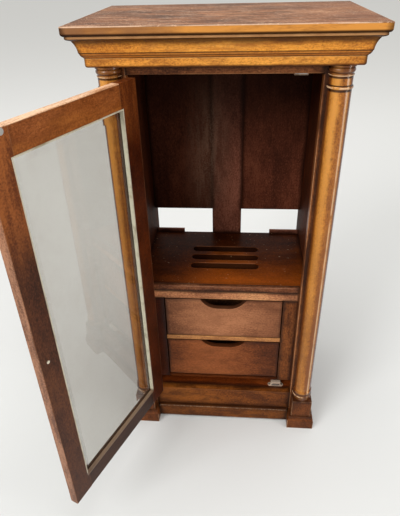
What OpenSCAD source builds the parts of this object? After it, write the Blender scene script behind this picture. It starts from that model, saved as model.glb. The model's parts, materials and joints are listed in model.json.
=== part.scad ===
// Floor-standing display case with a glazed door, corner columns and two drawers.
// Millimetres. +Z is up and +Y runs from the front of the case to its back.
// The origin is on the floor, on the axis of the left-hand column.

/* [Case] */
// Width over the two side panels
case_w = 489; // [440:1:560]
// Depth from the face of the front frame to the back edge of the sides
case_d = 372; // [330:1:450]
// Height from the floor to the top surface
case_h = 1141; // [1000:1:1400]
// Thickness of the side, top and floor boards
board_t = 18; // [15:0.5:22]
// How far the back panels' inner face lies inside the back edge of the sides
back_in = 48; // [30:1:60]
// Thickness of the back panels
back_t = 8; // [5:0.5:12]
// Width of the upright in the middle of the back
back_stile_w = 90; // [60:1:120]
// Thickness of the upright in the middle of the back
back_stile_t = 18; // [12:1:24]

/* [Front frame] */
// Width of each post beside the door
post_w = 40; // [34:0.5:48]
// Thickness of the posts and of the rails between them
frame_t = 22; // [21:0.5:26]
// Height of the rail under the door
front_rail_h = 69; // [50:1:90]
// Underside of the head rail, measured down from the top surface
head_drop = 99.6; // [97:0.1:120]

/* [Base] */
// Side of each square foot
foot_w = 78.2; // [70:0.2:86]
// Height of the feet and of the plinth rails
foot_h = 48; // [40:1:60]
// How far the front feet stand in front of the front plane
foot_out = 35; // [32:0.5:40]
// Height of the lower, wider part of the feet
foot_low_h = 37; // [30:1:42]
// Radius of the rounded edge on the lower part of the feet
foot_round = 7; // [4:0.5:8]
// Inset of the upper part of the feet
foot_step = 3.6; // [2:0.2:6]
// Thickness of the plinth rails
plinth_t = 18; // [14:0.5:24]
// How far the plinth rails stand in front of the front plane and the sides
plinth_out = 9.2; // [4:0.2:14]
// Gap between the floor and the underside of the plinth rails
plinth_lift = 5; // [2:0.5:12]
// Radius of the rounded top edge of the plinth rails
plinth_round = 5; // [2:0.5:8]

/* [Columns] */
// Distance of the column axes from the outside of the side panels
column_in = 6; // [2:0.5:8]
// Radius of the column shafts
shaft_r = 24.5; // [20:0.5:26]
// Side of the square block under each column
block_w = 58; // [52:1:64]
// Height of the block under each column
block_h = 62; // [50:1:80]
// Radius of the half-round at the foot of each column
base_r = 28; // [27:0.5:29]
// Height of the half-round at the foot of each column
base_h = 28; // [20:1:34]
// Radius of the half-round at the head of each column
cap_r = 27.3; // [26.8:0.1:29]
// Height of the half-round at the head of each column
cap_h = 14; // [12:0.5:18]
// Radius of the flat disc on top of each column
disc_r = 28.2; // [27.6:0.1:29]
// Height of the flat disc on top of each column
disc_h = 3.5; // [2:0.5:5]
// Radius of the fine bead under the head of each column
bead_r = 26.2; // [25.6:0.1:26.6]
// Height of the fine bead under the head of each column
bead_h = 3; // [2:0.5:4]
// Radius of the ring below the neck
ring_r = 27; // [26.6:0.1:28.5]
// Height of the ring below the neck
ring_h = 9; // [6:0.5:12]
// Height of the neck between the ring and the head
neck_h = 18; // [14:0.5:24]

/* [Cornice] */
// How far the top stands in front of the front plane
top_front = 59; // [50:0.5:70]
// How far the top stands out from the sides
top_side = 66; // [56:0.5:76]
// How far the top stands behind the back edge of the sides
top_back = 6; // [0:0.5:20]
// Thickness of the top
top_t = 18.5; // [16:0.5:26]
// Radius of the rounded lower edge of the top
top_round = 6; // [3:0.5:7]
// Radius of the worn upper edge of the top
top_wear = 1.5; // [0.5:0.25:3]
// Height of the crown moulding under the top
crown_h = 43.5; // [36:0.5:60]
// Height of the plain band under the crown
band_h = 18.5; // [14:0.5:24]
// Inset of the band from the edge of the top
band_in = 31.5; // [30:0.5:36]
// Radius of the rounded lower edge of the band
band_round = 5; // [3:0.5:8]

/* [Shelf and drawer bay] */
// Height of the shelf's upper surface above the top of the front rail
shelf_up = 372; // [340:1:460]
// Thickness of the shelf
shelf_t = 17.6; // [15:0.2:22]
// Width of the lipping on the shelf's front edge
lipping_w = 14; // [8:1:20]
// Thickness of the bay's front frame
bay_t = 18; // [14:1:22]
// Height of the bay's top rail
bay_rail_h = 24.6; // [18:0.2:34]
// Width of the opening that the drawers slide in
bay_w = 329; // [280:1:340]
// Thickness of the board between the drawers
divider_t = 13; // [10:0.5:18]
// Thickness of the board under the lower drawer
bay_floor_t = 9; // [8:0.5:15]
// Open height between the case floor and the board under the lower drawer
bay_lift = 28; // [20:1:50]
// Thickness of the upright boards beside the drawers
partition_t = 15; // [12:0.5:20]
// Gap between the back of the bay's boards and the back panels
bay_back_gap = 6; // [2:0.5:12]
// Number of vent slots in the shelf
slot_count = 3; // [1:1:4]
// Length of each vent slot
slot_l = 196; // [120:1:240]
// Width of each vent slot
slot_w = 28; // [16:0.5:32]
// Spacing of the vent slots
slot_pitch = 46.5; // [36:0.5:54]
// Distance of the slots' centre from the front plane
slot_at = 173; // [155:1:190]

/* [Back openings] */
// Height of the back openings' top edge above the shelf
vent_top = 85; // [60:1:140]
// Height of the lower back panels' top edge above the shelf
vent_sill = 11; // [6:1:20]
// Width of the deeper notch beside the upright
notch_w = 91; // [70:1:120]
// Depth of the notch below the shelf's surface
notch_sink = 3; // [1:0.5:8]

/* [Drawers] */
// Clearance between a drawer front and its opening at the sides
drawer_gap = 2.5; // [1:0.25:4]
// Clearance above each drawer front
drawer_top_gap = 3.3; // [1.5:0.1:5]
// Clearance below each drawer front
drawer_low_gap = 3.5; // [1.5:0.1:5]
// Running clearance between a drawer and the board under it
drawer_rest_gap = 0.5; // [0.3:0.1:1]
// Height of the upper drawer's opening
upper_open_h = 135.5; // [110:0.5:160]
// Thickness of the drawer fronts
drawer_front_t = 18; // [14:0.5:22]
// Thickness of the drawer sides and backs
drawer_side_t = 12; // [8:0.5:15]
// Thickness of the drawer bottoms
drawer_bottom_t = 6; // [4:0.5:9]
// Height of the groove that holds each drawer bottom
drawer_groove_up = 10; // [6:0.5:14]
// Depth of the groove that holds each drawer bottom
drawer_groove = 5; // [3:0.5:7]
// How much lower the drawer sides are than the front
drawer_side_drop = 22; // [12:1:34]
// Free space behind a closed drawer
drawer_back_gap = 14; // [8:1:40]
// Width of the finger cut-outs
cut_w = 127; // [90:1:150]
// Depth of the upper drawer's finger cut-out
upper_cut_d = 31; // [18:1:40]
// Depth of the lower drawer's finger cut-out
lower_cut_d = 24; // [18:1:40]
// Radius of the finger cut-outs' rounded sides
cut_r = 55; // [42:1:60]

/* [Door] */
// Angle that the door stands open
door_angle = 113; // [0:1:135]
// Thickness of the door
door_t = 20; // [18:0.5:20.5]
// Clearance between the door and the posts
door_gap = 2; // [1.8:0.1:3]
// Clearance above the door
door_top_gap = 2.6; // [1.5:0.1:4]
// Clearance below the door
door_low_gap = 3.2; // [1.5:0.1:4]
// Width of the door's stiles, seen from inside
stile_w = 49.8; // [40:0.2:60]
// Width of the door's top rail, seen from inside
top_rail_w = 50.6; // [40:0.2:60]
// Width of the door's bottom rail, seen from inside
low_rail_w = 46.4; // [40:0.2:60]
// Width of the lip that holds the glass from the outside
lip_w = 6; // [4:0.5:10]
// Thickness of the lip that holds the glass from the outside
lip_t = 7; // [5:0.5:8]
// Thickness of the glass
glass_t = 4; // [3:0.5:5]
// Thickness of the glass at its bevelled edge
glass_edge_t = 2; // [1.5:0.25:2.5]
// Width of the bevel
bevel_w = 20; // [12:1:26]
// Clearance around the glass in its rebate
glass_gap = 1; // [0.5:0.25:2]
// Width of the strips that hold the glass from the inside
strip_w = 3; // [2:0.25:5]

/* [Hinges] */
// Distance of the hinge pins in front of the door's face
pin_out = 5; // [4.5:0.25:6]
// Radius of the hinge pins
pin_r = 1.5; // [1:0.1:2]
// Running clearance around the hinge pins
pin_gap = 0.05; // [0.03:0.01:0.08]
// Radius of the hinge knuckles
knuckle_r = 3.8; // [3.2:0.1:4.2]
// Length of each hinge
hinge_l = 63; // [50:1:76]
// Thickness of the hinge leaves
leaf_t = 1.6; // [1.2:0.1:2]
// How far the leaves reach back from the door's face
leaf_w = 15; // [12:0.5:17]
// Distance of each hinge's middle from the door's end
hinge_in = 110; // [80:1:200]
// Running clearance between the knuckles of the two leaves
knuckle_gap = 0.3; // [0.2:0.05:0.6]

/* [Fasteners] */
// Radius of the screw heads
head_r = 3; // [2.4:0.1:3.4]
// Radius of the screw shanks
shank_r = 1.6; // [1.2:0.1:2]
// Length of the screws under the head
screw_l = 14; // [10:0.5:16]

/* [Knob] */
// Distance of the knob from the door's free edge
knob_in = 19.7; // [16:0.1:26]
// Height of the knob above the door's lower edge
knob_up = 457; // [400:1:520]
// Radius of the knob
knob_r = 7.5; // [6:0.5:9]
// How far the knob stands out from the door
knob_out = 15; // [14:0.5:20]
// Radius of the knob's neck
knob_neck_r = 4.5; // [4:0.25:5.5]

/* [Catches] */
// Distance of the catches from the door's free edge
catch_in = 41; // [34:0.5:60]
// Length of the catches over their ears
catch_l = 46.5; // [40:0.5:54]
// Length of a catch's body
catch_body_l = 28.5; // [24:0.5:34]
// Depth of a catch's body
catch_body_d = 14; // [12:0.5:18]
// Height of a catch's body
catch_body_h = 12.5; // [10:0.5:15]
// Thickness of a catch's ears
ear_t = 2.4; // [1.8:0.1:3]
// Wall of a catch's body
catch_wall = 2; // [1.5:0.1:2.5]
// Clearance around the floating magnet
magnet_gap = 0.4; // [0.3:0.05:0.6]
// How far the magnet can float back
magnet_float = 1.5; // [1:0.1:2]
// Gap between the closed door and a catch
catch_gap = 2.2; // [1.8:0.1:3]
// Radius of the steel strike disc on the door
strike_r = 6; // [5:0.25:8]
// Thickness of the steel strike disc
strike_t = 1.2; // [0.8:0.1:1.6]

/* [Hidden] */

$fn = 48;
// Overlap of a cutting shape past the surface that it opens
cut = 1;

// Case, from the middle plane outwards
side_x = case_w / 2;
inner_x = side_x - board_t;
post_x = side_x - post_w;
column_x = side_x - column_in;
back_at = case_d - back_in;

// Heights of the case
rail_top = foot_h + front_rail_h;
floor_top = rail_top + 2;
floor_t = board_t;
head_z = case_h - head_drop;
ceiling_z = head_z + 4.6;
crown_top = case_h - top_t;
band_top = crown_top - crown_h;
band_low = band_top - band_h;

// Heights of the shelf and the drawer bay
shelf_top = rail_top + shelf_up;
shelf_low = shelf_top - shelf_t;
bay_top = shelf_low - bay_rail_h;
bay_low = floor_top + bay_lift;
bay_floor_top = bay_low + bay_floor_t;
divider_top = bay_top - upper_open_h;
divider_low = divider_top - divider_t;
bay_front = frame_t;
bay_back = back_at - bay_back_gap;
bay_x = bay_w / 2;

// Door, closed
door_x0 = -post_x + door_gap;
door_x1 = post_x - door_gap;
door_w = door_x1 - door_x0;
door_z0 = rail_top + door_low_gap;
door_z1 = head_z - door_top_gap;
door_h = door_z1 - door_z0;
glass_y = lip_t;
strip_y = lip_t + glass_t;
pin_x = -post_x + door_gap / 2;
catch_x = door_x1 - catch_in;
catch_y = door_t + catch_gap;

// Colours
amber = [0.72, 0.44, 0.16];
brown = [0.42, 0.21, 0.09];
red_brown = [0.36, 0.14, 0.06];
dark = [0.24, 0.1, 0.05];
steel = [0.72, 0.7, 0.66];
brass = [0.6, 0.46, 0.22];
pale = [0.86, 0.85, 0.78];

// ---------------------------------------------------------------- helpers

// Moves a piece from the middle plane of the case to the origin of the part
module place() {
    translate([column_x, 0, 0]) children();
}

// Turns a piece of the closed door to the angle that the door stands at
module on_door() {
    place()
        translate([pin_x, -pin_out, 0])
            rotate([0, 0, -door_angle])
                translate([-pin_x, pin_out, 0])
                    children();
}

// A block between two corners
module block(low, high) {
    translate(low) cube(high - low);
}

// The same shape on the right-hand side
module right_hand() {
    mirror([1, 0, 0]) children();
}

// Points of an arc around a centre, from one angle to another
function arc(centre, r, from, to, steps) = [
    for (i = [0 : steps])
        let (a = from + (to - from) * i / steps)
            centre + r * [cos(a), sin(a)]
];

// Points of a shallow curve from p to q; a positive rise hollows a moulding's face
function bow(p, q, rise, steps) =
    let (d = (q - p) / norm(q - p))
        [for (i = [0 : steps])
            let (t = i / steps)
                p + (q - p) * t + rise * 4 * t * (1 - t) * [d[1], -d[0]]];

// An outline of [inset, depth below the top surface], run round the front and the
// sides of the top, with its corners mitred
module cornice_run(outline) {
    w = side_x + top_side;
    intersection() {
        for (side = [-1, 1])
            translate([0, -top_front, 0])
                rotate([-90, 0, 0])
                    linear_extrude(top_front + case_d + top_back)
                        if (side > 0) half_outline(outline, w);
        translate([-w, 0, 0])
            rotate([90, 0, 90])
                linear_extrude(2 * w)
                    depth_outline(outline);
    }
}

// The outline seen from the front, both sides at once; y runs down
module half_outline(outline, w) {
    polygon(concat(
        [for (p = outline) [w - p[0], p[1] - case_h]],
        [for (i = [len(outline) - 1 : -1 : 0]) [outline[i][0] - w, outline[i][1] - case_h]]
    ));
}

// The outline seen from the side; it runs back to the wall
module depth_outline(outline) {
    last = outline[len(outline) - 1];
    back = case_d + top_back;
    polygon(concat(
        [for (p = outline) [p[0] - top_front, case_h - p[1]]],
        [[back, case_h - last[1]], [back, case_h - outline[0][1]]]
    ));
}

// Outlines of the cornice, from the top down: [inset, depth]
top_outline = concat(
    arc([top_wear, top_wear], top_wear, -90, -180, 4),
    arc([top_round, top_t - top_round], top_round, 180, 90, 6)
);
crown_in = top_round - 0.5;
crown_bead = 4.5;
crown_lip = 11;
crown_low = top_t + crown_h;
crown_outline = concat(
    [[crown_in, top_t], [crown_in, top_t + crown_bead]],
    [[crown_in + 2.5, top_t + crown_bead + 2]],
    bow(
        [crown_in + 9.5, top_t + crown_bead + 4.5],
        [band_in - 8, crown_low - crown_lip], 1.8, 6),
    bow([band_in - 7, crown_low - crown_lip + 1], [band_in - 0.6, crown_low - 1], -1, 4),
    [[band_in - 0.6, crown_low]]
);
band_outline = concat(
    [[band_in, crown_low]],
    arc([band_in + band_round, crown_low + band_h - band_round], band_round, 180, 90, 5)
);

// The room that the case itself takes inside the cornice
module case_core() {
    block([-side_x, 0, 0], [side_x, case_d + top_back + cut, case_h + cut]);
}

// The part of the cornice that belongs to its front run
module front_mitre() {
    w = side_x + top_side;
    reach = top_front + 2 * cut;
    linear_extrude(case_h + cut)
        polygon([
            [-w - cut, -top_front - cut], [w + cut, -top_front - cut],
            [w + cut - reach - board_t, reach - top_front - cut + board_t],
            [-w - cut + reach + board_t, reach - top_front - cut + board_t]
        ]);
}

// The front run of a moulding
module moulding_front(outline) {
    difference() {
        intersection() {
            cornice_run(outline);
            front_mitre();
        }
        case_core();
    }
}

// The right-hand run of a moulding
module moulding_side(outline) {
    difference() {
        cornice_run(outline);
        front_mitre();
        case_core();
        block(
            [-case_w, -case_d, 0],
            [0, 2 * case_d, case_h + cut]);
        block(
            [0, case_d, 0],
            [case_w, 2 * case_d, case_h + cut]);
    }
}

// ---------------------------------------------------------------- cornice

module top_slab() {
    color(brown) place() cornice_run(top_outline);
}

module crown_front() {
    color(amber) place() moulding_front(crown_outline);
}

module crown_right() {
    color(amber) place() moulding_side(crown_outline);
}

module crown_left() {
    color(amber) place() right_hand() moulding_side(crown_outline);
}

module band_front() {
    color(brown) place() moulding_front(band_outline);
}

module band_right() {
    color(brown) place() moulding_side(band_outline);
}

module band_left() {
    color(brown) place() right_hand() moulding_side(band_outline);
}

// ---------------------------------------------------------------- case

module head_rail() {
    color(dark) place()
        block([-post_x, 0, head_z], [post_x, frame_t, crown_top]);
}

module top_panel() {
    color(dark) place()
        difference() {
            block([-inner_x, frame_t, ceiling_z], [inner_x, back_at, ceiling_z + board_t]);
            catch_screw_cuts(ceiling_z, 1);
        }
}

module side_panel() {
    block([inner_x, frame_t, foot_h], [side_x, case_d, crown_top]);
}

module side_panel_right() {
    color(brown) place() side_panel();
}

module side_panel_left() {
    color(brown) place() right_hand() side_panel();
}

module post() {
    block([post_x, 0, foot_h], [side_x, frame_t, crown_top]);
}

module post_right() {
    color(amber) place() post();
}

module post_left() {
    color(amber) place()
        difference() {
            right_hand() post();
            for (z = hinge_z) {
                leaf_recess_case(z);
                hinge_screws_case(z);
            }
        }
}

module front_rail() {
    color(brown) place()
        block([-post_x, 0, foot_h], [post_x, frame_t, rail_top]);
}

module floor_board() {
    color(red_brown) place()
        difference() {
            block([-inner_x, frame_t, floor_top - floor_t], [inner_x, back_at, floor_top]);
            catch_screw_cuts(floor_top, -1);
        }
}

// ---------------------------------------------------------------- base

// A square foot with its corner at the origin, rounded and stepped towards its top
module foot() {
    intersection() {
        rotate([90, 0, 0]) translate([0, 0, -foot_w]) linear_extrude(foot_w) foot_outline();
        rotate([90, 0, 90]) linear_extrude(foot_w) foot_outline();
    }
}

// Side view of a foot
module foot_outline() {
    for (x = [foot_round, foot_w - foot_round])
        translate([x, foot_low_h - foot_round])
            circle(foot_round);
    translate([foot_round, 0])
        square([foot_w - 2 * foot_round, foot_low_h]);
    square([foot_w, foot_low_h - foot_round]);
    translate([foot_step, 0])
        square([foot_w - 2 * foot_step, foot_h]);
}

foot_x = column_x - foot_w / 2;

module feet() {
    color(brown) place()
        for (side = [0, 1], y = [-foot_out, case_d - foot_w])
            mirror([side, 0, 0])
                translate([foot_x, y, 0])
                    foot();
}

// Cross-section of a plinth rail, with its face at x = 0
module plinth_outline() {
    translate([0, plinth_lift])
        square([plinth_t, foot_h - plinth_lift - plinth_round]);
    translate([plinth_round, foot_h - plinth_round])
        circle(plinth_round);
    translate([plinth_round, foot_h - plinth_round - cut])
        square([plinth_t - plinth_round, plinth_round + cut]);
}

module plinth_rail_front() {
    color(brown) place()
        translate([-foot_x, -plinth_out, 0])
            rotate([90, 0, 90])
                linear_extrude(2 * foot_x)
                    plinth_outline();
}

module plinth_rails_side() {
    rail_l = case_d - foot_w - (foot_w - foot_out);
    color(brown) place()
        for (side = [0, 1])
            mirror([side, 0, 0])
                translate([side_x + plinth_out, case_d - foot_w, 0])
                    rotate([90, 0, 0])
                        linear_extrude(rail_l)
                            mirror([1, 0]) plinth_outline();
}

// ---------------------------------------------------------------- columns

block_top = foot_h + block_h;
column_top = band_low;
cap_mid = column_top - disc_h - cap_h / 2;
bead_mid = cap_mid - cap_h / 2 - 1 - bead_h / 2;
neck_top = bead_mid - bead_h / 2;
ring_mid = neck_top - neck_h - ring_h / 2;
base_mid = block_top + 1.5 + base_h / 2;
fillet_w = 2.2;

// Half of the column's lengthwise section
module column_outline() {
    translate([0, block_top])
        square([shaft_r, column_top - block_top]);
    translate([0, block_top])
        square([shaft_r + fillet_w, base_h + 6]);
    half_round(base_r, base_mid, base_h);
    half_round(ring_r, ring_mid, ring_h);
    half_round(bead_r, bead_mid, bead_h);
    half_round(cap_r, cap_mid, cap_h);
    translate([0, column_top - disc_h])
        square([disc_r, disc_h]);
}

// A half-round of radius r and height h around the height z
module half_round(r, z, h) {
    translate([0, z - h / 2])
        square([r - h / 2, h]);
    translate([r - h / 2, z])
        circle(h / 2);
}

// The right-hand column, three quarters round, fitted to the corner of the case
module column() {
    difference() {
        translate([column_x, 0, 0])
            rotate_extrude($fn = 96)
                column_outline();
        block([0, 0, 0], [side_x, case_d, case_h]);
    }
}

module column_right() {
    color(amber) place() column();
}

module column_left() {
    color(amber) place() right_hand() column();
}

module column_block() {
    difference() {
        block(
            [column_x - block_w / 2, -block_w / 2, foot_h],
            [column_x + block_w / 2, block_w / 2, block_top]);
        block([0, 0, 0], [side_x, case_d, case_h]);
    }
}

module column_block_right() {
    color(brown) place() column_block();
}

module column_block_left() {
    color(brown) place() right_hand() column_block();
}

// ---------------------------------------------------------------- back

back_stile_x = back_stile_w / 2;
vent_z = shelf_top + vent_top;
sill_z = shelf_top + vent_sill;

module back_stile() {
    color(dark) place()
        block([-back_stile_x, back_at, foot_h], [back_stile_x, back_at + back_stile_t, crown_top]);
}

module back_panel() {
    block([back_stile_x, back_at, vent_z], [inner_x, back_at + back_t, crown_top]);
}

module back_panel_right() {
    color(dark) place() back_panel();
}

module back_panel_left() {
    color(dark) place() right_hand() back_panel();
}

module back_panels_lower() {
    color(dark) place()
        for (side = [0, 1])
            mirror([side, 0, 0])
                difference() {
                    block([back_stile_x, back_at, foot_h], [inner_x, back_at + back_t, sill_z]);
                    block(
                        [back_stile_x - cut, back_at - cut, shelf_top - notch_sink],
                        [back_stile_x + notch_w, back_at + back_t + cut, sill_z + cut]);
                }
}

// ---------------------------------------------------------------- shelf and drawer bay

module shelf() {
    color(red_brown) place()
        difference() {
            block([-inner_x, bay_front + lipping_w, shelf_low], [inner_x, back_at, shelf_top]);
            for (i = [0 : slot_count - 1])
                translate([0, slot_at + (i - (slot_count - 1) / 2) * slot_pitch, shelf_low - cut])
                    vent_slot(shelf_t + 2 * cut);
        }
}

// A slot with round ends, centred on the origin
module vent_slot(h) {
    end_x = (slot_l - slot_w) / 2;
    linear_extrude(h) {
        square([2 * end_x, slot_w], center = true);
        for (x = [-end_x, end_x])
            translate([x, 0]) circle(slot_w / 2);
    }
}

module shelf_lipping() {
    nose = 3;
    color(brown) place()
        translate([-inner_x, bay_front, shelf_low])
            rotate([90, 0, 90])
                linear_extrude(2 * inner_x) {
                    translate([nose, 0]) square([lipping_w - nose, shelf_t]);
                    translate([0, nose]) square([nose + cut, shelf_t - 2 * nose]);
                    translate([nose, nose]) circle(nose);
                    translate([nose, shelf_t - nose]) circle(nose);
                }
}

module bay_top_rail() {
    color(brown) place()
        block([-inner_x, bay_front, bay_top], [inner_x, bay_front + bay_t, shelf_low]);
}

module bay_stile() {
    block([bay_x, bay_front, bay_low], [inner_x, bay_front + bay_t, bay_top]);
}

module bay_stile_right() {
    color(brown) place() bay_stile();
}

module bay_stile_left() {
    color(brown) place() right_hand() bay_stile();
}

// A board across the bay, from its front frame to its back
module bay_board(low, high) {
    block([-bay_x, bay_front, low], [bay_x, bay_back, high]);
}

module bay_divider() {
    color(amber) place() bay_board(divider_low, divider_top);
}

module bay_floor() {
    color(dark) place() bay_board(bay_low, bay_floor_top);
}

module bay_partitions() {
    color(dark) place()
        for (side = [0, 1])
            mirror([side, 0, 0])
                block(
                    [bay_x, bay_front + bay_t, bay_low],
                    [bay_x + partition_t, bay_back, shelf_low]);
}

// ---------------------------------------------------------------- drawers

drawer_x = bay_x - drawer_gap;
drawer_y = bay_front;
drawer_end = bay_back - drawer_back_gap;

// A finger cut-out of depth d in the top edge of a drawer front whose top is at z
module finger_cut(z, d) {
    flat_x = cut_w / 2 - sqrt(pow(cut_r, 2) - pow(cut_r - d, 2));
    translate([0, drawer_y + drawer_front_t + cut, z])
        rotate([90, 0, 0])
            linear_extrude(drawer_front_t + 2 * cut)
                intersection() {
                    union() {
                        translate([-flat_x, -d]) square([2 * flat_x, d + cut]);
                        for (x = [-flat_x, flat_x])
                            translate([x, cut_r - d]) circle(cut_r);
                    }
                    translate([-cut_w, -2 * d]) square([2 * cut_w, 2 * d + cut]);
                }
}

// The front of a drawer whose opening runs from low to high
module drawer_front(low, high, cut_d) {
    z1 = high - drawer_top_gap;
    difference() {
        block(
            [-drawer_x, drawer_y, low + drawer_low_gap],
            [drawer_x, drawer_y + drawer_front_t, z1]);
        finger_cut(z1, cut_d);
        drawer_panel(low, drawer_groove);
    }
}

// The bottom panel of a drawer, let into the sides by the given depth
module drawer_panel(low, let_in) {
    x = drawer_x - drawer_side_t + let_in;
    z = low + drawer_groove_up;
    block(
        [-x, drawer_y + drawer_front_t - let_in, z],
        [x, drawer_end, z + drawer_bottom_t]);
}

// Height of a drawer's sides and back
function side_top(high) = high - drawer_top_gap - drawer_side_drop;

module drawer_sides(low, high) {
    for (side = [0, 1])
        mirror([side, 0, 0])
            difference() {
                block(
                    [drawer_x - drawer_side_t, drawer_y + drawer_front_t, low + drawer_rest_gap],
                    [drawer_x, drawer_end, side_top(high)]);
                drawer_panel(low, drawer_groove);
            }
}

module drawer_back(low, high) {
    x = drawer_x - drawer_side_t;
    block(
        [-x, drawer_end - drawer_side_t, low + drawer_groove_up + drawer_bottom_t],
        [x, drawer_end, side_top(high)]);
}

module upper_drawer_front() {
    color(red_brown) place() drawer_front(divider_top, bay_top, upper_cut_d);
}

module upper_drawer_sides() {
    color(brown) place() drawer_sides(divider_top, bay_top);
}

module upper_drawer_back() {
    color(brown) place() drawer_back(divider_top, bay_top);
}

module upper_drawer_bottom() {
    color(brown) place() drawer_panel(divider_top, drawer_groove);
}

module lower_drawer_front() {
    color(red_brown) place() drawer_front(bay_floor_top, divider_low, lower_cut_d);
}

module lower_drawer_sides() {
    color(brown) place() drawer_sides(bay_floor_top, divider_low);
}

module lower_drawer_back() {
    color(brown) place() drawer_back(bay_floor_top, divider_low);
}

module lower_drawer_bottom() {
    color(brown) place() drawer_panel(bay_floor_top, drawer_groove);
}

// ---------------------------------------------------------------- door

stile_full = stile_w + lip_w;
top_rail_full = top_rail_w + lip_w;
low_rail_full = low_rail_w + lip_w;

// The rebate that holds the glass and its strips
module rebate(grow = 0) {
    block(
        [door_x0 + stile_w - grow, glass_y, door_z0 + low_rail_w - grow],
        [door_x1 - stile_w + grow, door_t + cut, door_z1 - top_rail_w + grow]);
}

module door_stile_hinge() {
    color(red_brown) on_door()
        difference() {
            block([door_x0, 0, door_z0], [door_x0 + stile_full, door_t, door_z1]);
            rebate();
            for (z = hinge_z) {
                leaf_recess_door(z);
                hinge_screws_door(z);
            }
        }
}

module door_stile_free() {
    color(red_brown) on_door()
        difference() {
            block([door_x1 - stile_full, 0, door_z0], [door_x1, door_t, door_z1]);
            rebate();
            knob_screw_shape();
        }
}

module door_rail_top() {
    color(red_brown) on_door()
        difference() {
            block(
                [door_x0 + stile_full, 0, door_z1 - top_rail_full],
                [door_x1 - stile_full, door_t, door_z1]);
            rebate();
        }
}

module door_rail_bottom() {
    color(red_brown) on_door()
        difference() {
            block(
                [door_x0 + stile_full, 0, door_z0],
                [door_x1 - stile_full, door_t, door_z0 + low_rail_full]);
            rebate();
        }
}

// Half-section of the bevelled glass across a width w, with its inner face flat
module glass_section(w) {
    polygon([
        [0, glass_t], [0, glass_t - glass_edge_t], [bevel_w, 0],
        [w - bevel_w, 0], [w, glass_t - glass_edge_t], [w, glass_t]
    ]);
}

module door_glass() {
    w = door_w - 2 * stile_w - 2 * glass_gap;
    h = door_h - top_rail_w - low_rail_w - 2 * glass_gap;
    color(pale, 0.35) on_door()
        translate([door_x0 + stile_w + glass_gap, glass_y, door_z0 + low_rail_w + glass_gap])
            intersection() {
                linear_extrude(h) glass_section(w);
                translate([w, 0, 0]) rotate([0, -90, 0]) linear_extrude(w) mirror_section(h);
            }
}

// The same section along the height h
module mirror_section(h) {
    glass_section(h);
}

module glazing_strips() {
    x0 = door_x0 + stile_w;
    x1 = door_x1 - stile_w;
    z0 = door_z0 + low_rail_w;
    z1 = door_z1 - top_rail_w;
    color(pale) on_door() {
        block([x0, strip_y, z0], [x0 + strip_w, door_t, z1]);
        block([x1 - strip_w, strip_y, z0], [x1, door_t, z1]);
        block([x0 + strip_w, strip_y, z0], [x1 - strip_w, door_t, z0 + strip_w]);
        block([x0 + strip_w, strip_y, z1 - strip_w], [x1 - strip_w, door_t, z1]);
    }
}

// ---------------------------------------------------------------- hinges

hinge_z = [door_z0 + hinge_in, door_z1 - hinge_in];
knuckles = 5;
knuckle_l = hinge_l / knuckles;

// Recess for a leaf in the edge of the post, around the height z
module leaf_recess_case(z) {
    block([-post_x - leaf_t, -cut, z - hinge_l / 2], [-post_x + cut, leaf_w, z + hinge_l / 2]);
}

// Recess for a leaf in the edge of the door
module leaf_recess_door(z) {
    block([door_x0 - cut, -cut, z - hinge_l / 2], [door_x0 + leaf_t, leaf_w, z + hinge_l / 2]);
}

// Knuckles of one leaf: first is 0 for the leaf with the end knuckles, 1 for the other
module knuckle_row(z, first) {
    for (i = [first : 2 : knuckles - 1])
        translate([pin_x, -pin_out, z - hinge_l / 2 + i * knuckle_l + (i == 0 ? 0 : knuckle_gap / 2)])
            cylinder(
                r = knuckle_r,
                h = knuckle_l - (i == 0 || i == knuckles - 1 ? knuckle_gap / 2 : knuckle_gap));
}

// The space that the other leaf's knuckles turn in
module knuckle_room(z, first) {
    room = knuckle_r + knuckle_gap;
    for (i = [first : 2 : knuckles - 1])
        translate([pin_x, -pin_out, z - hinge_l / 2 + i * knuckle_l - knuckle_gap / 2])
            cylinder(r = room, h = knuckle_l + knuckle_gap);
}

// Bore for the pin
module pin_bore(z) {
    translate([pin_x, -pin_out, z - hinge_l / 2 - cut])
        cylinder(r = pin_r + pin_gap, h = hinge_l + 2 * cut);
}

module hinge_leaves_case() {
    color(brass) place()
        for (z = hinge_z)
            difference() {
                union() {
                    difference() {
                        block(
                            [-post_x - leaf_t, -pin_out, z - hinge_l / 2],
                            [-post_x, leaf_w, z + hinge_l / 2]);
                        knuckle_room(z, 1);
                    }
                    knuckle_row(z, 0);
                }
                pin_bore(z);
                hinge_screws_case(z);
            }
}

module hinge_leaves_door() {
    color(brass) on_door()
        for (z = hinge_z)
            difference() {
                union() {
                    difference() {
                        block(
                            [door_x0, -pin_out, z - hinge_l / 2],
                            [door_x0 + leaf_t, leaf_w, z + hinge_l / 2]);
                        knuckle_room(z, 0);
                    }
                    knuckle_row(z, 1);
                }
                pin_bore(z);
                hinge_screws_door(z);
            }
}

// Pins, held by small heads above and below the knuckles
module hinge_pins() {
    head_t = 1.5;
    color(brass) place()
        for (z = hinge_z)
            translate([pin_x, -pin_out, z - hinge_l / 2]) {
                cylinder(r = pin_r, h = hinge_l);
                for (h = [-head_t, hinge_l])
                    translate([0, 0, h]) cylinder(r = knuckle_r - 1, h = head_t);
            }
}

// ---------------------------------------------------------------- fasteners

// A screw whose head is flush with z = 0 and whose shank points down
module screw(head_t) {
    translate([0, 0, -head_t]) cylinder(r = head_r, h = head_t);
    translate([0, 0, -head_t - screw_l]) cylinder(r = shank_r, h = screw_l);
}

screw_z = [-hinge_l / 2 + 9, 0, hinge_l / 2 - 9];
screw_y = leaf_w / 2 + 1;

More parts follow.
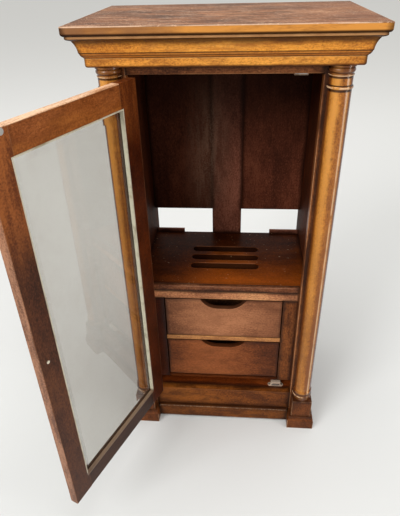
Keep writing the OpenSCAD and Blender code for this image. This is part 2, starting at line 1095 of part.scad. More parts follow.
// Screws of the leaf on the post, around the height z
module hinge_screws_case(z) {
    for (dz = screw_z)
        translate([-post_x, screw_y, z + dz])
            rotate([0, 90, 0])
                screw(leaf_t);
}

// Screws of the leaf on the door
module hinge_screws_door(z) {
    for (dz = screw_z)
        translate([door_x0, screw_y, z + dz])
            rotate([0, -90, 0])
                screw(leaf_t);
}

// Screws of a catch whose ears lie on a board at z; up is the board's side
module catch_screws(z, up) {
    ear_x = (catch_l + catch_body_l) / 4;
    for (side = [-1, 1])
        translate([catch_x + side * ear_x, catch_y + catch_body_d / 2, z - up * ear_t])
            rotate([up > 0 ? 180 : 0, 0, 0])
                screw(ear_t);
}

module catch_screw_cuts(z, up) {
    catch_screws(z, up);
}

module case_screws() {
    color(steel) place() {
        for (z = hinge_z) hinge_screws_case(z);
        catch_screws(ceiling_z, 1);
        catch_screws(floor_top, -1);
    }
}

module door_screws() {
    color(steel) on_door()
        for (z = hinge_z) hinge_screws_door(z);
}

// ---------------------------------------------------------------- catches

magnet_l = catch_body_l - 2 * catch_wall - 2 * magnet_gap;
magnet_h = catch_body_h - 2 * catch_wall - 2 * magnet_gap;
magnet_d = catch_body_d - catch_wall - magnet_float - magnet_gap;

// A catch standing on z = 0 with its open mouth towards -Y
module catch_case() {
    difference() {
        union() {
            block(
                [-catch_body_l / 2, 0, 0],
                [catch_body_l / 2, catch_body_d, catch_body_h]);
            translate([0, catch_body_d / 2, 0])
                for (side = [-1, 1])
                    translate([side * (catch_l - catch_body_d) / 2, 0, 0])
                        cylinder(d = catch_body_d, h = ear_t);
            block(
                [-(catch_l - catch_body_d) / 2, 0, 0],
                [(catch_l - catch_body_d) / 2, catch_body_d, ear_t]);
        }
        block(
            [-catch_body_l / 2 + catch_wall, -cut, catch_wall],
            [catch_body_l / 2 - catch_wall, catch_body_d - catch_wall, catch_body_h - catch_wall]);
    }
}

// The magnet between its two pole plates, which stand proud at the mouth
module catch_magnet() {
    pole_t = 1.6;
    pole_out = 0.6;
    z = catch_wall + magnet_gap;
    translate([-magnet_l / 2, 0, z]) {
        translate([0, pole_out, pole_t]) cube([magnet_l, magnet_d - pole_out, magnet_h - 2 * pole_t]);
        for (h = [0, magnet_h - pole_t])
            translate([0, 0, h]) cube([magnet_l, magnet_d, pole_t]);
    }
}

// Places a catch on the floor board (up = -1) or under the ceiling (up = 1)
module at_catch(up) {
    translate([catch_x, catch_y, up > 0 ? ceiling_z : floor_top])
        mirror([0, 0, up > 0 ? 1 : 0])
            children();
}

module catch_cases() {
    color(pale) place()
        difference() {
            for (up = [-1, 1]) at_catch(up) catch_case();
            catch_screws(ceiling_z, 1);
            catch_screws(floor_top, -1);
        }
}

module catch_magnet_upper() {
    color(steel) place() at_catch(1) catch_magnet();
}

module catch_magnet_lower() {
    color(steel) place() at_catch(-1) catch_magnet();
}

module strike_disc() {
    color(steel) on_door()
        translate([catch_x, door_t + strike_t, door_z1 - strike_r - 0.2])
            rotate([90, 0, 0])
                cylinder(r = strike_r, h = strike_t);
}

// ---------------------------------------------------------------- knob

knob_x = door_x1 - knob_in;
knob_z = door_z0 + knob_up;
knob_base_t = 4;

// Half of the knob's section; y runs out from the door
module knob_outline() {
    square([knob_neck_r + 2, knob_base_t]);
    square([knob_neck_r, knob_out - 4]);
    intersection() {
        translate([0, knob_out - knob_r * 0.7]) scale_ring();
        square([knob_r + cut, knob_out]);
    }
}

// The rounded head of the knob
module scale_ring() {
    head_h = knob_r * 0.7;
    translate([knob_r - head_h, 0]) circle(head_h);
    translate([0, -head_h]) square([knob_r - head_h, 2 * head_h]);
}

// The screw that holds the knob, from inside the door
module knob_screw_shape() {
    pan_t = 2;
    reach = 12;
    translate([knob_x, door_t + pan_t, knob_z])
        rotate([90, 0, 0]) {
            cylinder(r = head_r + 0.5, h = pan_t);
            cylinder(r = shank_r, h = pan_t + door_t + reach);
        }
}

module knob() {
    color(brass) on_door()
        difference() {
            translate([knob_x, 0, knob_z])
                rotate([90, 0, 0])
                    rotate_extrude($fn = 64)
                        knob_outline();
            knob_screw_shape();
        }
}

module knob_screw() {
    color(steel) on_door() knob_screw_shape();
}

// ---------------------------------------------------------------- nodes

top_slab();
crown_front();
crown_left();
crown_right();
band_front();
band_left();
band_right();
head_rail();
top_panel();
side_panel_left();
side_panel_right();
post_left();
post_right();
column_left();
column_right();
column_block_left();
column_block_right();
feet();
plinth_rail_front();
plinth_rails_side();
front_rail();
floor_board();
back_stile();
back_panel_left();
back_panel_right();
back_panels_lower();
shelf();
shelf_lipping();
bay_top_rail();
bay_stile_left();
bay_stile_right();
bay_divider();
bay_floor();
bay_partitions();
catch_cases();
catch_magnet_upper();
catch_magnet_lower();
case_screws();
hinge_leaves_case();
hinge_pins();
door_stile_hinge();
door_stile_free();
door_rail_top();
door_rail_bottom();
door_glass();
glazing_strips();
knob();
knob_screw();
strike_disc();
hinge_leaves_door();
door_screws();
upper_drawer_front();
upper_drawer_sides();
upper_drawer_back();
upper_drawer_bottom();
lower_drawer_front();
lower_drawer_sides();
lower_drawer_back();
lower_drawer_bottom();
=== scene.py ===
"""Looks of a glazed display case with turned corner columns.

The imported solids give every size. Each wooden board is shown by a copy of its solid with
rounded edges, in stained and varnished wood. Glass, metal and plastic keep their solids.
"""

import json
import math

import bmesh
import bpy
from mathutils import Matrix, Vector

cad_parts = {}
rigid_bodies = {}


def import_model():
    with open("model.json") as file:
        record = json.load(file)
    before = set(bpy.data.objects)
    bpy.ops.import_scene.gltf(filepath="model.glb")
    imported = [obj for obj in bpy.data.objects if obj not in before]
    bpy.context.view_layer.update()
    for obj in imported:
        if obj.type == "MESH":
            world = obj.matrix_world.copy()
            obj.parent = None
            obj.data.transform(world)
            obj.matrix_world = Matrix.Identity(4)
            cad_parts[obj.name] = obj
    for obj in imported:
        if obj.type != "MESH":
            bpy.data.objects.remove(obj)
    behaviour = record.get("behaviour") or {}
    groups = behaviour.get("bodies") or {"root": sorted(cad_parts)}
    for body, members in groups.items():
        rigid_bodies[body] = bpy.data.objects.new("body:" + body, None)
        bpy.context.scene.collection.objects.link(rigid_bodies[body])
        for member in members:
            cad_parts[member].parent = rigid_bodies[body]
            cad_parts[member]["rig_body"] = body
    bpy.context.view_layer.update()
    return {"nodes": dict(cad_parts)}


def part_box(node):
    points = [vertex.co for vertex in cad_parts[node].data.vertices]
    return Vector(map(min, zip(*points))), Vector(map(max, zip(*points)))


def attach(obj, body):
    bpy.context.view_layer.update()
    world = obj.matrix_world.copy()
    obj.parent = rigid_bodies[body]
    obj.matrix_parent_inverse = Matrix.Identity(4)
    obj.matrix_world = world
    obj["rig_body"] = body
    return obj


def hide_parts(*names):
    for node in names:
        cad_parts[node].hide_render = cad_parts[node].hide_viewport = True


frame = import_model()

MM = 0.001
X, Y, Z = 0, 1, 2

# The door stands open by this angle, turned about its hinge pins
DOOR_OPEN = math.radians(113)
DOOR_PIN = Vector((35 * MM, -5 * MM, 0))
# Turns the closed door to where it stands
DOOR_TURN = (
    Matrix.Translation(DOOR_PIN)
    @ Matrix.Rotation(-DOOR_OPEN, 4, "Z")
    @ Matrix.Translation(-DOOR_PIN)
)

# On the closed door: its free side, which ends 2 mm short of the right post, and how high
# the middle of its top rail is
DOOR_FREE_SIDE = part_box("post_right")[0][X] - 2 * MM
DOOR_RAIL_MIDDLE = 0.995

# The middle of the case, half the width of the band, and two front faces
CASE_MIDDLE = 238.5 * MM
BAND_HALF = CASE_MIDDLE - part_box("band_left")[0][X]
BAND_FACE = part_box("band_front")[0][Y]
DRAWER_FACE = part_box("upper_drawer_front")[0][Y]

# Pairs of heights between which a colour sets in, from the top of the case down. Painted
# shade sets in under the top's edge, over the crown's cove, below the shelf's top face
# and along the lower part of the glazing strip.
TOP_FACE = (1138.2 * MM, 1139.4 * MM)
TOP_UNDERSIDE_SHADE = (1125.5 * MM, 1129.5 * MM)
CROWN_BEAD = (1117.2 * MM, 1118.2 * MM)
CROWN_COVE_SHADE = (1100 * MM, 1112 * MM)
CROWN_FOOT = (1086 * MM, 1091 * MM)
BAND_FOOT = (1061.5 * MM, 1067 * MM)
DOOR_TOP_WEAR = (1036.6 * MM, 1038.2 * MM)
COLUMN_HEAD = (1034 * MM, 1046 * MM)
SHELF_FACE = (487.4 * MM, 488.4 * MM)
GLAZING_STRIP_SHADE = (172 * MM, 182 * MM)
COLUMN_FOOT = (128 * MM, 146 * MM)

# Thin lines round the turnings and mouldings: the height and half the width of each, in mm.
# In the hollows they are painted shade with dark glaze. The arris and the beads are pale,
# partly worn and partly painted highlight, and the foot ring is a painted highlight.
TOP_ARRIS = ((1139.6, 1.3),)
CROWN_HOLLOWS = ((1116.8, 1.6), (1089.6, 1.8), (1084.4, 1.2), (1079.3, 1.6))
COLUMN_HOLLOWS = ((1046, 2.6), (1037, 3.0), (1020.6, 2.0), (1011, 4.0), (134, 4.5), (112, 5))
COLUMN_BEADS = ((1040.8, 1.0), (1016.6, 2.4))
COLUMN_FOOT_RING = ((127, 2.4),)

# The rubbed rim behind each slot of the shelf: how far back it is and half its width, in
# mm. To either side it fades out between these distances from the middle of the case.
SLOT_RIMS = ((141.6, 1.6), (188.1, 1.4), (234.8, 2.2))
SLOT_ENDS = (94 * MM, 86 * MM)

# The middle of the orange pool of painted light between the slots
SHELF_LIGHT_X, SHELF_LIGHT_Y = 258 * MM, 173 * MM

# The middle of the paler patch on the back of the compartment
PALE_PATCH_X, PALE_PATCH_Z = 0.21, 0.74

# The middle of the painted glare on the drawer fronts
DRAWER_GLARE_X = 0.2


def paint(red, green, blue):
    """A colour in screen values, 0 to 255, as the light that it gives back."""
    shares = [value / 255 for value in (red, green, blue)]
    return tuple(
        share / 12.92 if share <= 0.04045 else ((share + 0.055) / 1.055) ** 2.4
        for share in shares
    ) + (1.0,)


# ------------------------------------------------------------------ shader tools


class Wire:
    """One socket of a material's nodes. Arithmetic on it adds Math nodes."""

    def __init__(self, tree, socket=None):
        self.tree = tree
        self.socket = socket

    def node(self, kind, settings=None, inputs=None, output=0):
        """Adds a node: its settings first, then the values or links of its sockets."""
        made = self.tree.nodes.new("ShaderNode" + kind)
        for name, value in (settings or {}).items():
            setattr(made, name, value)
        for key, value in (inputs or {}).items():
            if isinstance(value, Wire):
                self.tree.links.new(value.socket, made.inputs[key])
            else:
                made.inputs[key].default_value = value
        return Wire(self.tree, None if output is None else made.outputs[output])

    def maths(self, operation, *values):
        """Adds a Math node."""
        return self.node("Math", {"operation": operation}, dict(enumerate(values)))

    def __add__(self, other):
        return self.maths("ADD", self, other)

    def __radd__(self, other):
        return self.maths("ADD", other, self)

    def __sub__(self, other):
        return self.maths("SUBTRACT", self, other)

    def __rsub__(self, other):
        return self.maths("SUBTRACT", other, self)

    def __mul__(self, other):
        return self.maths("MULTIPLY", self, other)

    def __rmul__(self, other):
        return self.maths("MULTIPLY", other, self)

    def __abs__(self):
        return self.maths("ABSOLUTE", self)

    def least(self, other):
        """The smaller of two values."""
        return self.maths("MINIMUM", self, other)

    def most(self, other):
        """The larger of two values."""
        return self.maths("MAXIMUM", self, other)

    def fade(self, zero_at, one_at):
        """0 to 1, smoothly, as the value goes from zero_at to one_at."""
        inputs = {"Value": self, "From Min": zero_at, "From Max": one_at}
        return self.node("MapRange", {"interpolation_type": "SMOOTHSTEP"}, inputs)

    def between(self, first, second):
        """The colour that lies this share of the way from the first to the second."""
        return self.node("Mix", {"data_type": "RGBA"}, {0: self, 6: first, 7: second}, 2)

    def mix(self, other, share):
        """This colour turned towards another one by a share."""
        return share.between(self, other)

    def along(self, axis):
        """One axis of this place."""
        return self.node("SeparateXYZ", {}, {0: self}, axis)

    def vector(self, operation, *values, output=0):
        """Adds a Vector Math node to this place."""
        inputs = dict(enumerate((self, *values)))
        return self.node("VectorMath", {"operation": operation}, inputs, output)

    def moved(self, by):
        """This place, moved by a vector."""
        return self.vector("ADD", by)

    def stretched(self, by):
        """This place, with each axis multiplied."""
        return self.vector("MULTIPLY", by)

    def away_from(self, low, high):
        """How far this place is from a box."""
        middle = tuple((low[axis] + high[axis]) / 2 for axis in (X, Y, Z))
        half = tuple((high[axis] - low[axis]) / 2 for axis in (X, Y, Z))
        beyond = self.vector("SUBTRACT", middle).vector("ABSOLUTE").vector("SUBTRACT", half)
        return beyond.vector("MAXIMUM", (0, 0, 0)).vector("LENGTH", output=1)

    def noise(self, scale, detail=2.0, rough=0.5, distortion=0.0, output="Fac"):
        """Soft noise at this place."""
        inputs = {
            "Vector": self,
            "Scale": scale,
            "Detail": detail,
            "Roughness": rough,
            "Distortion": distortion,
        }
        return self.node("TexNoise", {}, inputs, output)

    def ragged(self, scale, reach, detail=3.0):
        """Soft noise at this place, to both sides of zero, within a reach."""
        return (self.noise(scale, detail) - 0.5) * reach

    def towards(self, axis, zero_at, one_at, scale, sway, detail=3.0):
        """0 to 1 along one axis of this place, with borders that noise makes uneven."""
        return (self.along(axis) + self.noise(scale, detail) * sway).fade(zero_at, one_at)


def new_material(name):
    """An empty material, a wire to start its nodes from, and the places on its piece."""
    material = bpy.data.materials.new(name)
    material.use_nodes = True
    material.node_tree.nodes.clear()
    start = Wire(material.node_tree)
    return material, start, start.node("TexCoord", {}, {}, "Object")


def surface(start, height=None, bump=0.3, depth=0.4 * MM, **inputs):
    """Ends a material with the Principled shader, over a bump of the given height."""
    if height:
        relief = {"Height": height, "Strength": bump, "Distance": depth}
        inputs["Normal"] = start.node("Bump", {}, relief)
    named = {key.replace("_", " "): value for key, value in inputs.items()}
    shader = start.node("BsdfPrincipled", {}, named)
    start.node("OutputMaterial", {}, {"Surface": shader}, None)


# ------------------------------------------------------------------ wood

# Old dark glaze, which stays in hollows and corners. The same colour serves as painted shade in
# hollows, corners and recesses and under overhangs.
GLAZE_AND_SHADE = paint(34, 14, 7)

# The share of grain lines in a board's pattern. The rest is clouds of colour.
FIGURE = 0.4

# How fine the layers of the pattern are, in waves to the metre
SWAY, CLOUDS, GROWTH, PATCHES = 4.0, 9.0, 22.0, 34.0
PITS, GRIT, FIBRES, SPECKS, PORES = 190.0, 230.0, 300.0, 420.0, 800.0

# What places along the grain are multiplied by, so that a layer is drawn out that way
GROWTH_DRAWN, FIBRES_DRAWN, BLOTS_DRAWN, STREAKS_DRAWN = 0.14, 0.09, 0.4, 0.16

# How far the pattern moves on from one board to the next, in metres
BOARD_STEP = (1.37, 2.11, 0.73)


class Stain:
    """The colours and varnish of one kind of board. Its colours are screen values.

    Cloud and speckle are how strongly blots and fine specks show. Wear is bare wood along
    the edges, rim is dark varnish inside them, and corner is painted shade with dark glaze
    beside the pieces that the board meets. Each width is how far that reaches.
    """

    def __init__(
        self,
        pale,
        mid,
        dark,
        worn=None,
        cloud=0.6,
        speckle=0.45,
        wear=0.4,
        wear_width=2.5 * MM,
        rim=0.25,
        rim_width=9 * MM,
        corner=0.8,
        corner_width=13 * MM,
        rough=0.36,
        shine=0.14,
        coat=0.0,
    ):
        self.pale = paint(*pale)
        self.mid = paint(*mid)
        self.dark = paint(*dark)
        self.worn = paint(*(worn or pale))
        self.cloud = cloud
        self.speckle = speckle
        self.wear = wear
        self.wear_width = wear_width
        self.rim = rim
        self.rim_width = rim_width
        self.corner = corner
        self.corner_width = corner_width
        self.rough = rough
        self.shine = shine
        self.coat = coat


STAINS = {
    "top": Stain(
        (178, 124, 86),
        (144, 93, 60),
        (68, 39, 23),
        worn=(226, 190, 160),
        speckle=0.2,
        wear=0.7,
        wear_width=4 * MM,
        rough=0.5,
        shine=0.07,
        cloud=0.9,
    ),
    "crown": Stain(
        (252, 182, 86),
        (242, 160, 60),
        (158, 88, 36),
        worn=(240, 186, 120),
        corner=0.0,
        speckle=0.3,
    ),
    "band": Stain(
        (246, 172, 76),
        (226, 148, 60),
        (132, 74, 32),
        worn=(240, 186, 120),
        corner=0.0,
        cloud=0.8,
    ),
    "head": Stain((176, 114, 70), (136, 80, 46), (58, 28, 14), worn=(196, 142, 94)),
    "side": Stain((98, 48, 26), (74, 36, 20), (34, 15, 8), shine=0.03, rough=0.6),
    "post": Stain(
        (174, 108, 58),
        (138, 78, 38),
        (66, 32, 15),
        worn=(212, 160, 118),
        wear=0.7,
        corner_width=3.5 * MM,
    ),
    "column": Stain(
        (230, 158, 68),
        (192, 118, 40),
        (96, 50, 22),
        worn=(240, 200, 156),
        rough=0.24,
        coat=0.4,
        speckle=0.2,
        rim=0.0,
    ),
    "base": Stain(
        (134, 78, 40),
        (112, 60, 26),
        (56, 26, 10),
        worn=(196, 152, 112),
        cloud=0.8,
        wear=0.7,
        rim=0.6,
        rim_width=6 * MM,
        corner=0.4,
    ),
    "base_front": Stain(
        (142, 82, 32),
        (112, 60, 20),
        (58, 27, 9),
        worn=(226, 196, 160),
        wear=1.0,
        rim=0.4,
        corner_width=20 * MM,
        cloud=0.9,
    ),
    "rail": Stain(
        (156, 90, 34),
        (120, 64, 22),
        (60, 27, 9),
        worn=(160, 104, 60),
        wear=0.3,
        rim=0.5,
        corner_width=20 * MM,
        cloud=1.0,
    ),
    "inner": Stain((144, 82, 58), (116, 62, 43), (70, 36, 25), wear=0.1, rough=0.5, shine=0.04),
    "back_stile": Stain(
        (182, 116, 92), (150, 90, 70), (90, 51, 39), wear=0.1, rough=0.5, shine=0.05
    ),
    "floor_board": Stain(
        (150, 76, 32), (130, 56, 16), (70, 28, 8), wear=0.1, rough=0.4, shine=0.12
    ),
    "bay_floor": Stain((118, 58, 22), (98, 42, 12), (46, 18, 6), wear=0.3, shine=0.03),
    "shelf": Stain((180, 90, 24), (128, 58, 18), (40, 16, 7), rough=0.38, shine=0.04),
    "lipping": Stain((180, 126, 92), (134, 78, 46), (68, 32, 17), worn=(200, 156, 126)),
    "bay": Stain(
        (226, 164, 112),
        (186, 122, 84),
        (104, 58, 36),
        worn=(230, 176, 120),
        corner_width=7 * MM,
    ),
    "bay_side": Stain(
        (164, 100, 50), (130, 71, 31), (56, 25, 10), worn=(180, 120, 72), cloud=0.95
    ),
    # The left stile of the drawer bay, darkened as the painted shadow of the door
    "bay_hinge_side": Stain((84, 38, 16), (66, 26, 10), (38, 12, 6), wear=0.2),
    "divider": Stain(
        (234, 168, 100),
        (206, 142, 86),
        (140, 88, 54),
        worn=(240, 180, 110),
        corner_width=2 * MM,
    ),
    "door_top": Stain(
        (176, 104, 54),
        (138, 74, 32),
        (74, 30, 8),
        worn=(206, 150, 104),
        speckle=0.2,
        corner=0.2,
    ),
    "door_hinge": Stain((92, 40, 14), (66, 23, 5), (28, 8, 3), worn=(150, 96, 64), corner=0.2),
    "door_free": Stain(
        (110, 64, 36), (82, 43, 23), (42, 19, 9), worn=(160, 112, 80), corner=0.2
    ),
    "door_low": Stain((76, 44, 28), (60, 32, 18), (34, 17, 9), worn=(140, 104, 80), corner=0.2),
    "drawer_upper": Stain((188, 126, 88), (156, 101, 69), (90, 48, 28), wear=0.3, cloud=0.75),
    "drawer_lower": Stain((156, 89, 49), (124, 65, 30), (58, 25, 10), wear=0.3, cloud=0.75),
    "drawer_box": Stain((150, 104, 70), (110, 70, 44), (52, 30, 18), rough=0.55, wear=0.2),
}


def edge_distance(place, low, high):
    """How far a point on a board's face is from the board's nearest edge."""
    inside = []
    for axis in (X, Y, Z):
        middle = (low[axis] + high[axis]) / 2
        half = (high[axis] - low[axis]) / 2
        inside.append(half - abs(place.along(axis) - middle))
    nearer = inside[X].least(inside[Y])
    further = inside[X].most(inside[Y])
    return nearer.most(further.least(inside[Z]))


def drawn_out(grain, share):
    """What to stretch places by, so that a pattern is drawn out along the grain."""
    stretch = [1.0] * 3
    stretch[grain] = share
    return stretch


def stained(stain, grain, board):
    """The colour of the wood, and the layers of its pattern that shape the surface."""
    sway = board.noise(SWAY, 1.0, output="Color").stretched((0.03, 0.03, 0.03))
    lines = board.moved(sway).stretched(drawn_out(grain, GROWTH_DRAWN))
    threads = board.stretched(drawn_out(grain, FIBRES_DRAWN))
    blots = board.stretched(drawn_out(grain, BLOTS_DRAWN))

    growth = lines.noise(GROWTH, 3.0, 0.6, 0.3)
    fibres = threads.noise(FIBRES, 3.0, 0.65)
    pores = threads.noise(PORES, 1.0).fade(0.58, 0.7)
    clouds = blots.noise(CLOUDS, 4.0, 0.62)
    patches = blots.noise(PATCHES, 4.0, 0.65)
    specks = blots.noise(SPECKS, 2.0, 0.6)
    pits = blots.noise(PITS, 1.0).fade(0.66, 0.74)
    grit = board.noise(GRIT, 3.0, 0.7)

    lined = (growth + fibres) * (0.33 * FIGURE)
    light = lined + clouds * (0.66 * (1.0 - FIGURE)) + grit * 0.34
    colour = light.fade(0.37, 0.52).between(stain.dark, stain.mid)
    colour = colour.mix(stain.pale, light.fade(0.49, 0.62) * 0.9)
    colour = colour.mix(stain.dark, (1.0 - clouds.fade(0.3, 0.5)) * (0.5 * stain.cloud))
    colour = colour.mix(stain.pale, clouds.fade(0.52, 0.7) * (0.6 * stain.cloud))
    colour = colour.mix(stain.dark, (1.0 - specks.fade(0.34, 0.5)) * stain.speckle)
    colour = colour.mix(stain.pale, specks.fade(0.52, 0.68) * stain.speckle)
    colour = colour.mix(stain.dark, (1.0 - patches.fade(0.36, 0.54)) * (0.6 * stain.cloud))
    colour = colour.mix(stain.dark, pores.most(pits) * 0.5)
    return colour, fibres, pores, clouds, grit


def distance_to_nearest(place, boxes):
    """How far a place is from the nearest of some boxes."""
    nearest = None
    for box in boxes:
        away = place.away_from(*box)
        nearest = away if nearest is None else nearest.least(away)
    return nearest


def wood(name, stain, grain, low, high, number, corners, touch):
    """Stained and varnished wood with its grain along one axis, worn along its edges.

    Corners are the boxes of the pieces that it meets, beside which painted shade and dark
    glaze darken the wood. A touch changes the colour of one piece in places, such as
    painted shade in a hollow.
    """
    material, start, place = new_material(name)
    board = place.moved([number * step for step in BOARD_STEP])
    colour, fibres, pores, clouds, grit = stained(stain, grain, board)
    gloss = stain.rough + (fibres - 0.5) * 0.12 + (clouds - 0.5) * 0.2

    from_edge = edge_distance(place, low, high)
    rim = (1.0 - (from_edge + (clouds - 0.5) * 0.03).fade(0.0, stain.rim_width)) * stain.rim
    colour = colour.mix(stain.dark, rim)
    near = from_edge + (grit - 0.5) * (1.8 * stain.wear_width)
    worn = (1.0 - near.fade(0.0, stain.wear_width)) * clouds.fade(0.35, 0.55) * stain.wear
    colour = colour.mix(stain.worn, worn)
    gloss = gloss + worn * 0.15
    if corners:
        # Painted shade, with some dark glaze, in the corners where this board meets other
        # pieces
        from_corner = distance_to_nearest(place, corners) + (clouds - 0.5) * 0.012
        shade_and_glaze = 1.0 - from_corner.fade(0.0, stain.corner_width)
        colour = colour.mix(GLAZE_AND_SHADE, shade_and_glaze * stain.corner)
    if touch:
        colour = touch(place, colour, stain)
    surface(
        start,
        fibres * 0.5 - pores * 0.7 + grit * 0.3,
        Base_Color=colour,
        Roughness=gloss,
        Coat_Weight=stain.coat,
        Coat_Roughness=0.16,
        Specular_IOR_Level=stain.shine,
    )
    return material


# ------------------------------------------------------------------ touches on the wood


def lines_at(place, levels, axis=Z):
    """1 on a few thin lines across an axis, each given by its place and half width in mm."""
    across = place.along(axis)
    marks = None
    for level, reach in levels:
        line = 1.0 - abs(across - level * MM).fade(0.3 * reach * MM, reach * MM)
        marks = line if marks is None else marks.most(line)
    return marks


def scratches(place):
    """Thin straight scratches in a few directions, 0 to 1."""
    marks = None
    for turn, stretch in ((0.15, 34.0), (-0.3, 26.0), (1.1, 30.0)):
        setting = {"rotation_type": "Z_AXIS"}
        turned = place.node("VectorRotate", setting, {"Vector": place, "Angle": turn})
        line = turned.stretched((1.6, stretch, 1.0)).noise(9.0, 1.0)
        thin = 1.0 - abs(line - 0.5).fade(0.0, 0.014)
        here = place.noise(8.0 + stretch / 4, 1.0).fade(0.44, 0.56)
        marks = thin * here if marks is None else marks.most(thin * here)
    return marks


def streaked(place, grain, dark, pale):
    """Wood in two tones, streaked along its grain and lightly speckled."""
    streaks = place.stretched(drawn_out(grain, STREAKS_DRAWN)).noise(70.0, 5.0, 0.65)
    specks = place.noise(260.0, 2.0)
    return (streaks * 0.65 + specks * 0.35).fade(0.38, 0.62).between(dark, pale)


def mitre_glaze(place, width):
    """1 at the mitred corners of the top and the mouldings under it, where glaze stays."""
    sideways = abs(place.along(X) - CASE_MIDDLE) - BAND_HALF
    from_mitre = abs(sideways + place.along(Y) - BAND_FACE)
    return (from_mitre + place.ragged(50.0, width, detail=4.0)).fade(width, 0.0)


def top_touch(place, colour, stain):
    """Scratches, flecks and dark patches on the top, an amber edge, painted shade below it."""
    reddish, edge_stain = paint(132, 82, 52), paint(130, 80, 40)
    edge_brown, edge_amber = paint(140, 96, 62), paint(216, 146, 68)

    back = place.towards(Y, 0.3, 0.46, scale=6.0, sway=0.1)
    colour = colour.mix(stain.dark, back * 0.35)
    right = place.towards(X, 0.42, 0.68, scale=5.0, sway=0.3)
    colour = colour.mix(reddish, right * 0.6)
    streaks = place.stretched((0.6, 4.5, 1.0)).noise(13.0, 5.0, 0.7)
    colour = colour.mix(stain.dark, (1.0 - streaks.fade(0.38, 0.52)) * 0.55)
    left = place.towards(X, 0.5, 0.1, scale=5.0, sway=0.3)
    marks = scratches(place) + streaks.fade(0.54, 0.72) * (left * 0.5 + 0.25)
    flecks = place.noise(210.0, 1.0).fade(0.7, 0.76)
    colour = colour.mix(stain.worn, (marks * 0.75).most(flecks * 0.7))

    patches = (place.along(X) * 1.3 + place.noise(9.0, 4.0)).fade(0.3, 0.9)
    edge = patches.between(edge_brown, edge_amber)
    bare = place.stretched((0.5, 1.0, 3.0)).noise(30.0, 4.0, 0.7).fade(0.36, 0.56)
    edge = edge.mix(edge_stain, (1.0 - bare) * 0.45)
    edge = edge.mix(GLAZE_AND_SHADE, mitre_glaze(place, width=16 * MM) * 0.7)
    colour = colour.mix(edge, 1.0 - place.along(Z).fade(*TOP_FACE))
    # The arris of the top, pale in patches: partly wear, partly a painted highlight
    rubbed_and_lit_arris = lines_at(place, TOP_ARRIS) * place.noise(14.0, 3.0).fade(0.35, 0.55)
    colour = colour.mix(stain.worn, rubbed_and_lit_arris * 0.8)
    # Painted shade under the rounded front edge of the top
    return colour.mix(GLAZE_AND_SHADE, (1.0 - place.along(Z).fade(*TOP_UNDERSIDE_SHADE)) * 0.92)


def crown_touch(place, colour, stain):
    """Aged patches, a browner bead and foot, and painted shade and glaze in the hollows."""
    aged_amber, foot_brown = paint(166, 104, 56), paint(164, 94, 42)
    bead_brown, bead_tan = paint(140, 92, 56), paint(206, 156, 104)

    aged = place.stretched((0.5, 1.0, 2.0)).noise(7.0, 4.0, 0.65).fade(0.48, 0.66)
    colour = colour.mix(aged_amber, aged * 0.45)
    streaks = place.stretched((0.12, 0.12, 1.0)).noise(90.0, 4.0, 0.7)
    colour = colour.mix(stain.dark, (1.0 - streaks.fade(0.36, 0.52)) * 0.4)
    # Painted shade under the bead, over the top of the cove
    shade_over_cove = (place.along(Z) + place.ragged(20.0, 9 * MM)).fade(*CROWN_COVE_SHADE)
    colour = colour.mix(GLAZE_AND_SHADE, shade_over_cove * 0.75)
    bead = place.noise(40.0, 3.0).between(bead_brown, bead_tan)
    colour = colour.mix(bead, place.along(Z).fade(*CROWN_BEAD))
    foot = 1.0 - place.along(Z).fade(*CROWN_FOOT)
    colour = colour.mix(foot_brown, foot * 0.6)
    colour = colour.mix(GLAZE_AND_SHADE, mitre_glaze(place, width=9 * MM) * 0.75)
    patchy = place.noise(30.0, 3.0).fade(0.25, 0.6) * 0.3 + 0.7
    # Painted shade with dark glaze in the hollows between the mouldings
    return colour.mix(GLAZE_AND_SHADE, lines_at(place, CROWN_HOLLOWS) * patchy * 0.85)


def band_touch(place, colour, stain):
    """Dark brown painted shade along the band's rounded lower edge, and glaze at its mitres."""
    underside_shade_brown = paint(92, 46, 18)
    # Painted shade where the lower edge of the band rounds under
    lower = 1.0 - (place.along(Z) + place.ragged(40.0, 5 * MM)).fade(*BAND_FOOT)
    colour = colour.mix(underside_shade_brown, lower * 0.85)
    return colour.mix(GLAZE_AND_SHADE, mitre_glaze(place, width=8 * MM) * 0.75)


